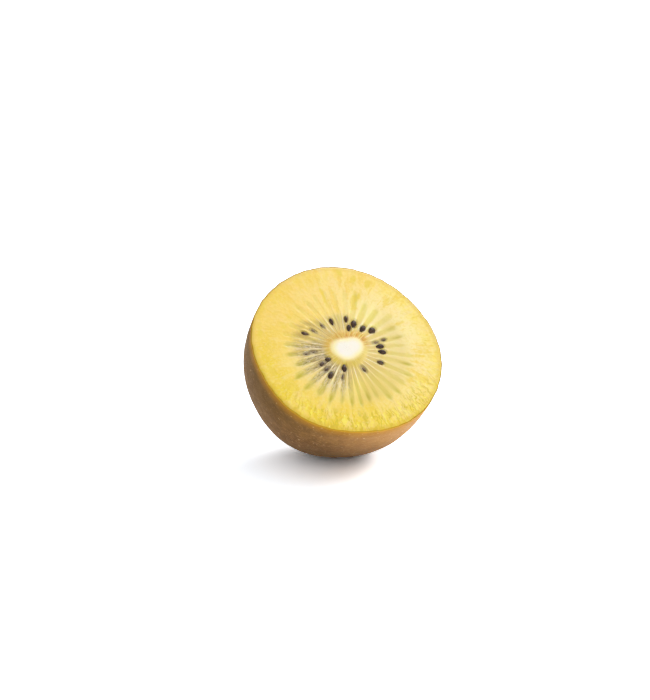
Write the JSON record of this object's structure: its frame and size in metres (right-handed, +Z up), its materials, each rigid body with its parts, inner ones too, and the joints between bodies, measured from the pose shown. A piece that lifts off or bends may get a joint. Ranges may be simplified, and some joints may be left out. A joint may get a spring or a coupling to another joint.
{
  "type": "golden kiwi fruit half",
  "caption": "Half a golden kiwi fruit cut across the middle: pale core, ring of dark seeds, raying locules and brown skin, lying on the side of its dome with the cut face leaning to the front.",
  "frame": {"origin": "centre of the small flat on the side of the dome that the half rests on", "axes": "+Z up from the surface; the cut face looks up and towards -Y, leaning 43 degrees from level; +X along the level line across the cut face"},
  "size_m": [0.0525, 0.056, 0.0497],
  "materials": {
    "flesh": "wet, translucent golden flesh with paler rays and a cream core",
    "skin": "thin brown skin, matt, with pale dots and fine down",
    "seed": "wet, nearly black",
    "stalk": "dry and fibrous"
  },
  "bodies": {
    "root": {"kiwi_half": "flesh"}
  },
  "joints": []
}
